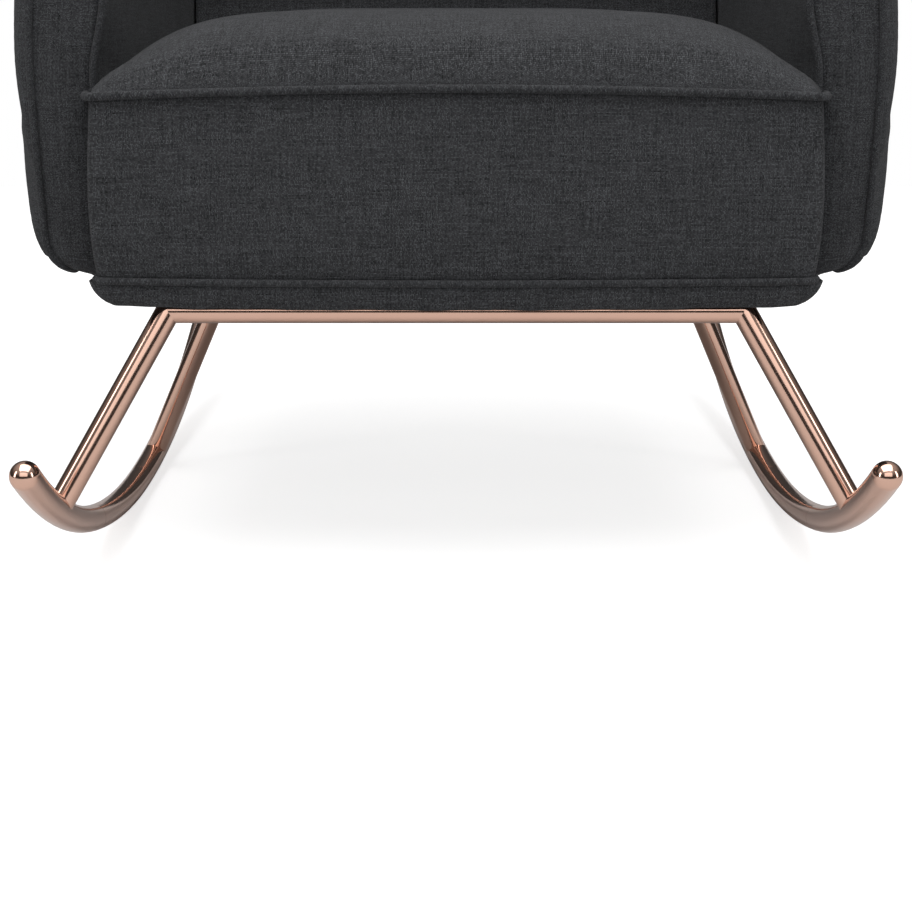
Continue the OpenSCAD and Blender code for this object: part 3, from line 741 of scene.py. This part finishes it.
def lower_band_rows():
    """The points of the lower band: rows down from the bottom welt, and then in under the box."""
    side = SEAT_SIDE - 1 * MM
    corners = [(-side, BOX_FRONT - 9.5 * MM), (side, BOX_FRONT - 9.5 * MM),
               (side, BOX_REAR + 2 * MM), (-side, BOX_REAR + 2 * MM)]
    loop = finer(rounded(corners, [7 * MM, 7 * MM, 5 * MM, 5 * MM], 6), 9 * MM)
    normals = inward(loop)
    before = 1 - smooth((loop[:, 1] - (EAR_Y - 18 * MM)) / (14 * MM))
    sag = before * np.cos(np.clip(loop[:, 0] / side, -1, 1) * math.pi / 2) ** 0.6
    ripple = before * (np.sin(loop[:, 0] * 63) * 0.5 + np.sin(loop[:, 0] * 151 + 1.3) * 0.3)
    low = BOX_LOW - 2.5 * MM - before * 6.5 * MM - sag * 3.8 * MM + ripple * 0.8 * MM
    high = BASE_Z - 1 * MM - hang(loop[:, 0])
    spread = before[:, None] * [20 * MM, 5.5 * MM]
    rows = []
    for k in range(9):
        t = k / 8
        out = spread * (1 - t) ** 0.65 + before[:, None] * 2.0 * MM * math.sin(math.pi * t)
        z = high + (low - high) * t
        rows.append(np.column_stack([loop - normals * out, z]))
    tacked = BOX_LOW - 1.9 * MM
    folds = [(0.8 * MM, -0.04), (2.2 * MM, -0.02), (3.2 * MM, 0.3), (3.6 * MM, 0.9), (14 * MM, 1.0)]
    for tuck, share in folds:
        rows.append(np.column_stack([loop + normals * tuck, low + (tacked - low) * share]))
    return [np.vstack([row, row[:1]]) for row in rows]


def lower_band():
    """The strip of cloth from the bottom welt, pulled under the edge of the box; it sags along the front."""
    rows = lower_band_rows()
    build = Build()
    rings(build, rows, closed=False)
    piece = build.make("seat_lower_band_cloth")
    weld(piece.data)
    middle = rows[4]
    around = np.linalg.norm(np.diff(middle, axis=0), axis=1).sum()
    thickened(piece, 1.2 * MM)
    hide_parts("seat_lower_band")
    return dress(piece, FABRIC)


# ---------------------------------------------------------------- arms and wings

def side_outline():
    """The outline of an arm and its wing, in Y and Z."""
    wing_front = WING_FOOT + WING_LEAN * (WING_TOP - ARM_TOP)
    corners = [(ARM_FRONT, ARM_LOW), outer_back(ARM_LOW), outer_back(WING_TOP), (wing_front, WING_TOP),
               (WING_FOOT, ARM_TOP), (ARM_FRONT, ARM_TOP)]
    radii = [14 * MM, 10 * MM, 46 * MM, 110 * MM, 120 * MM, 84 * MM]
    return finer(rounded(corners, radii, 12), 10 * MM)


def arm_shape(xyz):
    """The stance of the arm: its outer edge curls in below, and its inner edge makes room for the seat."""
    x, y, z = xyz.T
    share = (x - ARM_IN) / (ARM_OUT - ARM_IN)
    inner_share = np.clip(1 - share, 0, 1)
    corner, widest = 30 * MM, 470 * MM
    drop = np.clip((ARM_LOW + corner - z) / corner, 0, 1)
    curl = corner * (1 - np.sqrt(np.maximum(1 - drop ** 2, 0)))
    below = 7 * MM * np.clip((widest - z) / (170 * MM), 0, 1) ** 1.5
    above = 5 * MM * smooth((z - widest) / (120 * MM))
    front = smooth((ARM_FRONT + 90 * MM - y) / (80 * MM))
    squeeze = 12 * MM * front * smooth((SEAT_TOP + 14 * MM - z) / (70 * MM))
    x = x - np.clip(share, 0, 1.3) * (curl + below + above) + squeeze * inner_share
    z = z - 6 * MM * inner_share * drop
    return np.column_stack([x, y, z])


def side_place(side):
    """Places the outline of the left or the right arm, with its height along X."""
    def place(flat, height):
        xyz = arm_shape(np.column_stack([np.broadcast_to(height, len(flat)), flat]))
        return xyz * [side, 1, 1]
    return place


# how far the arm's seams lie inside its two faces, and the rings of the shoulder next to the outer seam
SEAM_IN = 1.2 * MM
SHOULDER_RINGS = [3.0 * MM, 4.6 * MM, 7.5 * MM, 12 * MM]


def outside_height(distance):
    """How far out the outside panel stands: a quick shoulder at the seam, then a slow rise."""
    shoulder = 1 - np.exp(-distance / (6.5 * MM))
    rise = smooth(distance / (120 * MM))
    return ARM_OUT - SEAM_IN + (SIDE_BULGE + 3 * MM) * (0.86 * shoulder + 0.14 * rise)


def side_pad(name, side):
    """One arm and wing: inside panel, border band and outside panel."""
    seam, swell = 2.6 * MM, 4.4 * MM
    inside_x, outside_x = ARM_IN + SEAM_IN, ARM_OUT - SEAM_IN
    band = [(seam, inside_x, True)]
    steps = 9
    for k in range(1, steps):
        t = k / steps
        x = inside_x + (outside_x - inside_x) * t
        band.append((seam - swell * math.sin(math.pi * t) ** 0.6, x, False))
    band.append((seam, outside_x, True))
    for inset in SHOULDER_RINGS:
        band.append((inset, outside_height(inset - seam), False))

    def inner(_points, distance):
        return inside_x - 1.0 * MM * smooth(distance / (25 * MM))

    def outer(_points, distance):
        return outside_height(distance + SHOULDER_RINGS[-1] - seam)

    piece = pad(f"arm_pad_{name}", side_outline(), band, inner, outer, side_place(side), 11 * MM)
    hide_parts(*[f"{part}_{name}" for part in
                         ("arm_band", "inside_cover", "outside_cover", "inner_padding", "outer_padding")])
    return dress(piece, FABRIC)


def side_limit(xyz):
    """The outside and the band may swell; the inside only above the seat and before the back."""
    x, y, z = np.abs(xyz[:, 0]), xyz[:, 1], xyz[:, 2]
    outside = smooth((x - ARM_IN - 4 * MM) / (10 * MM))
    free = smooth((z - SEAT_TOP - 6 * MM) / (50 * MM)) * smooth((back_face(z) - 8 * MM - y) / (50 * MM))
    return 0.3 * MM + 5 * MM * outside + 9 * MM * free * (1 - outside)


def side_welts(name, side):
    """The welts along the inner and the outer edge of one arm and wing."""
    loop = side_outline()
    normals = inward(loop)
    for part, x in (("inner", ARM_IN + 0.8 * MM), ("outer", ARM_OUT - 0.8 * MM)):
        path = side_place(side)(loop + normals * 1.2 * MM, x)
        welt(f"{part}_welt_cord_{name}", path, WELT_R, f"{part}_welt_{name}", closed=True)


# ---------------------------------------------------------------- back

def back_outline():
    """The back padding from the side: the leaning face, and the roll over the top of the frame."""
    low, high, shelf = -60 * MM, 490 * MM, 471 * MM
    step = on_back(BACK_PAD, shelf)
    corners = [on_back(0, low), on_back(BACK_PAD, low), step, outer_back(step[1] - 10 * MM),
               outer_back(WING_TOP - 12 * MM), on_back(0, high)]
    return finer(rounded(corners, [8 * MM, 4 * MM, 4 * MM, 4 * MM, 28 * MM, 42 * MM], 8), 10 * MM)


def back_pad():
    """The padded inside back, crowned between the wings and over the lower back."""
    loop = back_outline()
    band = []
    steps = 58
    for k in range(steps + 1):
        x = -SEAT_SIDE + 2 * SEAT_SIDE * k / steps
        band.append((0.0, x, k in (0, steps)))

    def place(flat, height):
        return np.column_stack([np.broadcast_to(height, len(flat)), flat])

    def shape(xyz):
        x, y, z = xyz.T
        w = (z - BACK_REF[1]) / math.cos(RECLINE)
        face = smooth((back_face(z) + 26 * MM - y) / (20 * MM))
        wide = 1 - np.abs(x / SEAT_SIDE) ** 3
        tall = smooth(w / (100 * MM)) * smooth((470 * MM - w) / (140 * MM))
        lumbar = np.exp(-((w - 140 * MM) / (130 * MM)) ** 2)
        puff = face * wide * tall * (8 * MM + 6 * MM * lumbar)
        return np.column_stack([x, y - puff * math.cos(RECLINE), z + puff * math.sin(RECLINE)])

    def right_end(points, _distance):
        return np.full(len(points), -SEAT_SIDE)

    def left_end(points, _distance):
        return np.full(len(points), SEAT_SIDE)

    piece = pad("back_pad", loop, band, right_end, left_end, place, 11 * MM, shape=shape, hidden=(True, True))
    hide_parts("inside_back_cover", "back_foam")
    return dress(piece, FABRIC)


def back_limit(xyz):
    """The free part of the inside back may swell."""
    x, y, z = xyz.T
    free = smooth((back_face(z) + 20 * MM - y) / (15 * MM)) * smooth((z - SEAT_TOP) / (40 * MM))
    top = smooth((z - (WING_TOP - 50 * MM)) / (30 * MM))
    return 0.2 * MM + 6 * MM * np.maximum(free, 0.5 * top) * (1 - np.abs(x / SEAT_SIDE) ** 4)


def outside_back():
    """The cloth over the outside of the back, pulled taut between the wings."""
    rows = []
    high = hi("outside_back_cover")[2]
    low = lo("outside_back_cover")[2] + 1 * MM
    half = SEAT_SIDE - 0.5 * MM
    xs = np.linspace(-half, half, 61)
    for z in np.linspace(low, high, 66):
        y = outer_back(z)[0] - 0.2 * MM
        t = (z - low) / (high - low)
        give = (1 - (xs / half) ** 4) * math.sin(math.pi * t) ** 0.5
        rows.append(np.column_stack([xs, y - 3.0 * MM * give, np.full(len(xs), z)]))
    build = Build()
    rings(build, rows, closed=False)
    piece = thickened(build.make("outside_back_cloth"), 1.6 * MM)
    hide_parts("outside_back_cover")
    return dress(piece, FABRIC)


# ---------------------------------------------------------------- cloth under the seat and in the back

# the distance of the mount plates' inner edges from the middle, and their depth
PLATE_IN = 200 * MM
PLATE_DEEP = 50 * MM


def with_edges(low, high, edges):
    """Even steps from low to high, with extra lines at the edges."""
    return np.unique(np.round(np.concatenate([np.linspace(low, high, 41), edges]), 5))


def under_cloth():
    """The black cloth stapled under the seat box: it sags between the rails and leaves the plates free."""
    low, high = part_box("dust_cover")
    plate_low, plate_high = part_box("mount_plates")
    front = plate_low[1], plate_low[1] + PLATE_DEEP
    rear = plate_high[1] - PLATE_DEEP, plate_high[1]
    xs = with_edges(low[0], high[0], [-plate_high[0], -PLATE_IN, PLATE_IN, plate_high[0]])
    ys = with_edges(low[1], high[1], [*front, *rear])
    build = Build()
    z = high[2] - 0.3 * MM
    points = []
    for y in ys:
        for x in xs:
            u = (x - low[0]) / (high[0] - low[0])
            v = (y - low[1]) / (high[1] - low[1])
            sag = (math.sin(math.pi * u) * math.sin(math.pi * v)) ** 0.7 if 0 < u < 1 and 0 < v < 1 else 0
            away = max(0.0, 1 - abs(x) / (PLATE_IN - 10 * MM))
            points.append((x, y, z - 4 * MM * sag * away))
    build.add(points)
    for j in range(len(ys) - 1):
        for i in range(len(xs) - 1):
            x, y = (xs[i] + xs[i + 1]) / 2, (ys[j] + ys[j + 1]) / 2
            over_plate = front[0] < y < front[1] or rear[0] < y < rear[1]
            if over_plate and PLATE_IN < abs(x) < plate_high[0]:
                continue
            a = j * len(xs) + i
            corners = [a, a + 1, a + 1 + len(xs), a + len(xs)]
            build.face(corners, [(points[c][0], points[c][1]) for c in corners])
    piece = thickened(build.make("dust_cover_cloth"), 0.7 * MM)
    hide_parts("dust_cover")
    return dress(piece, BLACK)


# ---------------------------------------------------------------- floor, light and camera

def floor():
    """A pale level floor under the chair."""
    build = Build()
    half = 3.0
    xs = np.linspace(-half, half, 13)
    rings(build, [np.column_stack([xs, np.full(len(xs), y), np.zeros(len(xs))]) for y in xs], closed=False)
    made = build.make("studio_floor")
    made.data.materials.append(studio_white("studio_white"))
    made.location.z = -0.2 * MM


def softbox(name, size, energy, place, target):
    """A large soft lamp that looks at a point."""
    data = bpy.data.lights.new(name, "AREA")
    data.shape = "RECTANGLE"
    data.size, data.size_y = size
    data.energy = energy
    lamp = bpy.data.objects.new(name, data)
    lamp.location = place
    lamp.rotation_euler = (Vector(target) - Vector(place)).to_track_quat("-Z", "Y").to_euler()
    bpy.context.scene.collection.objects.link(lamp)
    return lamp


def studio_world():
    """A dim room that is bright overhead; seen directly, it is a plain white backdrop."""
    world = bpy.data.worlds.new("studio")
    world.use_nodes = True
    tree = world.node_tree
    tree.nodes.clear()
    link, new = tree.links.new, tree.nodes.new
    place = new("ShaderNodeTexCoord")
    split = new("ShaderNodeSeparateXYZ")
    link(place.outputs["Generated"], split.inputs[0])
    ramp = new("ShaderNodeValToRGB")
    link(split.outputs["Z"], ramp.inputs[0])
    tones = [(0.0, 0.04), (0.30, 0.07), (0.75, 0.45)]
    ramp.color_ramp.elements.new(0.5)
    for element, (at, tone) in zip(ramp.color_ramp.elements, tones):
        element.position = at
        element.color = (tone, tone, tone, 1)
    room, backdrop = new("ShaderNodeBackground"), new("ShaderNodeBackground")
    link(ramp.outputs[0], room.inputs[0])
    backdrop.inputs[0].default_value = (1, 1, 1, 1)
    seen, mix, out = new("ShaderNodeLightPath"), new("ShaderNodeMixShader"), new("ShaderNodeOutputWorld")
    link(seen.outputs["Is Camera Ray"], mix.inputs[0])
    link(room.outputs[0], mix.inputs[1])
    link(backdrop.outputs[0], mix.inputs[2])
    link(mix.outputs[0], out.inputs[0])
    bpy.context.scene.world = world


def lights():
    """A large box over the chair, one from the front and two low ones at the sides."""
    studio_world()
    softbox("top_box", (3.6, 3.2), 96, (0.0, -0.7, 3.0), (0.0, -0.1, 0.3))
    softbox("front_box", (4.0, 2.0), 30, (0.0, -3.8, 2.0), (0.0, 0.0, 0.4))
    softbox("left_box", (0.6, 1.8), 14, (2.8, -1.6, 1.1), (0.0, 0.0, 0.2))
    softbox("right_box", (0.6, 1.8), 14, (-2.8, -1.6, 1.1), (0.0, 0.0, 0.2))
    bpy.context.scene.view_settings.view_transform = "Standard"


def camera():
    """A camera low in front of the chair, looking slightly down."""
    data = bpy.data.cameras.new("camera")
    data.sensor_width = 36.0
    data.lens = 65.13
    data.shift_y = -0.10
    data.clip_start, data.clip_end = 0.05, 60.0
    made = bpy.data.objects.new("camera", data)
    made.location = (0.0, -1.750, 0.527)
    made.rotation_euler = (math.radians(90 - 12.467), 0.0, 0.0)
    bpy.context.scene.collection.objects.link(made)
    bpy.context.scene.camera = made


# ---------------------------------------------------------------- the chair

def chair():
    """Every soft piece; the pads are filled together, so that one run of the simulation serves them all."""
    finish_cad_nodes()
    seat = seat_pad()
    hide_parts("seat_crown_cover", "seat_boxing", "seat_foam")
    dress(seat, FABRIC)
    back = back_pad()
    arms = [side_pad(name, side) for name, side in SIDES.items()]
    limits = [(seat, seat_limit), (back, back_limit)] + [(arm, side_limit) for arm in arms]
    fill_with_air([(piece, PRESSURE, limit) for piece, limit in limits])
    for piece in [seat, back, *arms]:
        softened(piece)
    seat_welts()
    lower_band()
    for name, side in SIDES.items():
        side_welts(name, side)
    outside_back()
    under_cloth()


floor()
lights()
camera()
chair()
